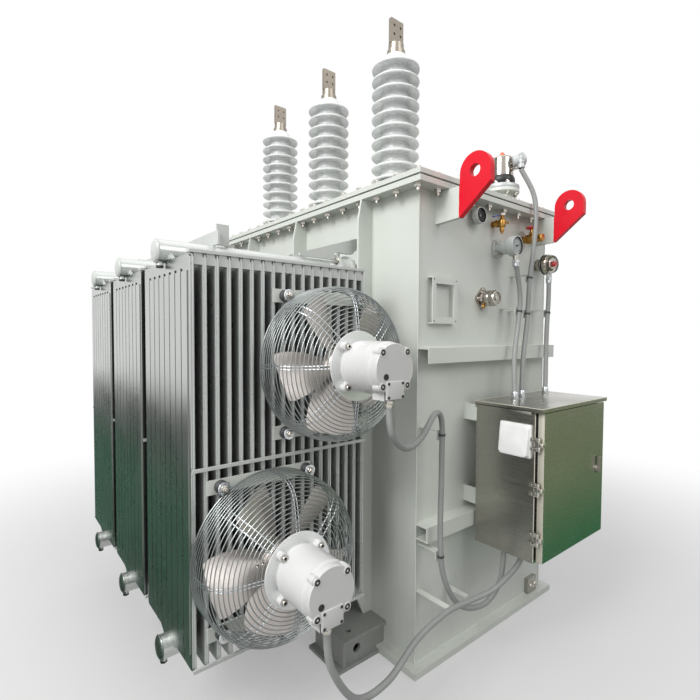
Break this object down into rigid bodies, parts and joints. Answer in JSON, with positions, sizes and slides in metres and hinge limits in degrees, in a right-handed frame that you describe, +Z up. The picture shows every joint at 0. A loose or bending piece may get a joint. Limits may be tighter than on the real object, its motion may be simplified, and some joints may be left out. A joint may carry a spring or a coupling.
{
  "type": "power transformer",
  "caption": "Oil-filled power transformer: welded tank, panel radiators with guarded fans, high-voltage bushings, hinged control cabinet and lifting lugs.",
  "frame": {"origin": "centre of the tank's base plate, on its underside", "axes": "+Z up; +X along the tank towards the control end with the cabinet; -Y towards the radiators"},
  "size_m": [2.65, 2.424, 3.215],
  "materials": {
    "tank_paint": "satin",
    "radiator_paint": "satin",
    "foot_paint": "satin",
    "lug_red": "gloss",
    "gasket": "matte",
    "porcelain": "gloss",
    "terminal": "tin plated",
    "zinc": "bright zinc",
    "motor_white": "gloss",
    "blade": "bare",
    "stainless": "brushed",
    "hood": "matte",
    "conduit": "satin",
    "brass": "satin",
    "gauge": "satin",
    "gauge_black": "satin",
    "bare_steel": "bare"
  },
  "bodies": {
    "tank": {"base_plate": "tank_paint", "control_end_wall": "tank_paint", "far_end_wall": "tank_paint", "radiator_side_wall": "tank_paint", "plain_side_wall": "tank_paint", "wall_stiffeners": "tank_paint", "end_wall_rails": "tank_paint", "top_flange": "tank_paint", "cover_gasket": "gasket", "cover": "tank_paint", "lifting_lugs": "lug_red", "jacking_feet": "foot_paint", "bushing_1": "porcelain", "bushing_2": "porcelain", "bushing_3": "porcelain", "bushing_terminals": "terminal", "radiator_1": "radiator_paint", "radiator_2": "radiator_paint", "radiator_3": "radiator_paint", "header_stubs": "radiator_paint", "header_gussets": "radiator_paint", "radiator_ties": "radiator_paint", "radiator_rails": "radiator_paint", "fan_bars": "radiator_paint", "upper_fan_guard": "zinc", "upper_fan_motor": "motor_white", "lower_fan_guard": "zinc", "lower_fan_motor": "motor_white", "cabinet_body": "stainless", "cabinet_roof": "stainless", "cabinet_hinges": "bare_steel", "cabinet_vent_hood": "hood", "cabinet_brackets": "tank_paint", "fan_conduits": "conduit", "gauge_conduits": "conduit", "conduit_clamps": "tank_paint", "nameplate_frame": "tank_paint", "level_gauge": "gauge_black", "sampling_valve": "brass", "filter_valve": "brass", "thermometer": "gauge", "gas_gauge": "gauge", "probe_fitting": "brass", "relief_device": "gauge", "ground_pad": "bare_steel"},
    "upper_fan": {"upper_fan_impeller": "blade"},
    "lower_fan": {"lower_fan_impeller": "blade"},
    "door": {"cabinet_door": "stainless"}
  },
  "joints": [
    {"name": "upper_fan_spin", "type": "hinge", "parent": "tank", "child": "upper_fan", "pos_m": [0.942, -0.995, 1.444], "axis": [1, 0, 0], "continuous": true},
    {"name": "lower_fan_spin", "type": "hinge", "parent": "tank", "child": "lower_fan", "pos_m": [0.942, -1.259, 0.754], "axis": [1, 0, 0], "continuous": true},
    {"name": "cabinet_door_swing", "type": "hinge", "parent": "tank", "child": "door", "pos_m": [1.365, -0.214, 0.887], "axis": [0, 0, -1], "range_deg": [0, 110]}
  ]
}
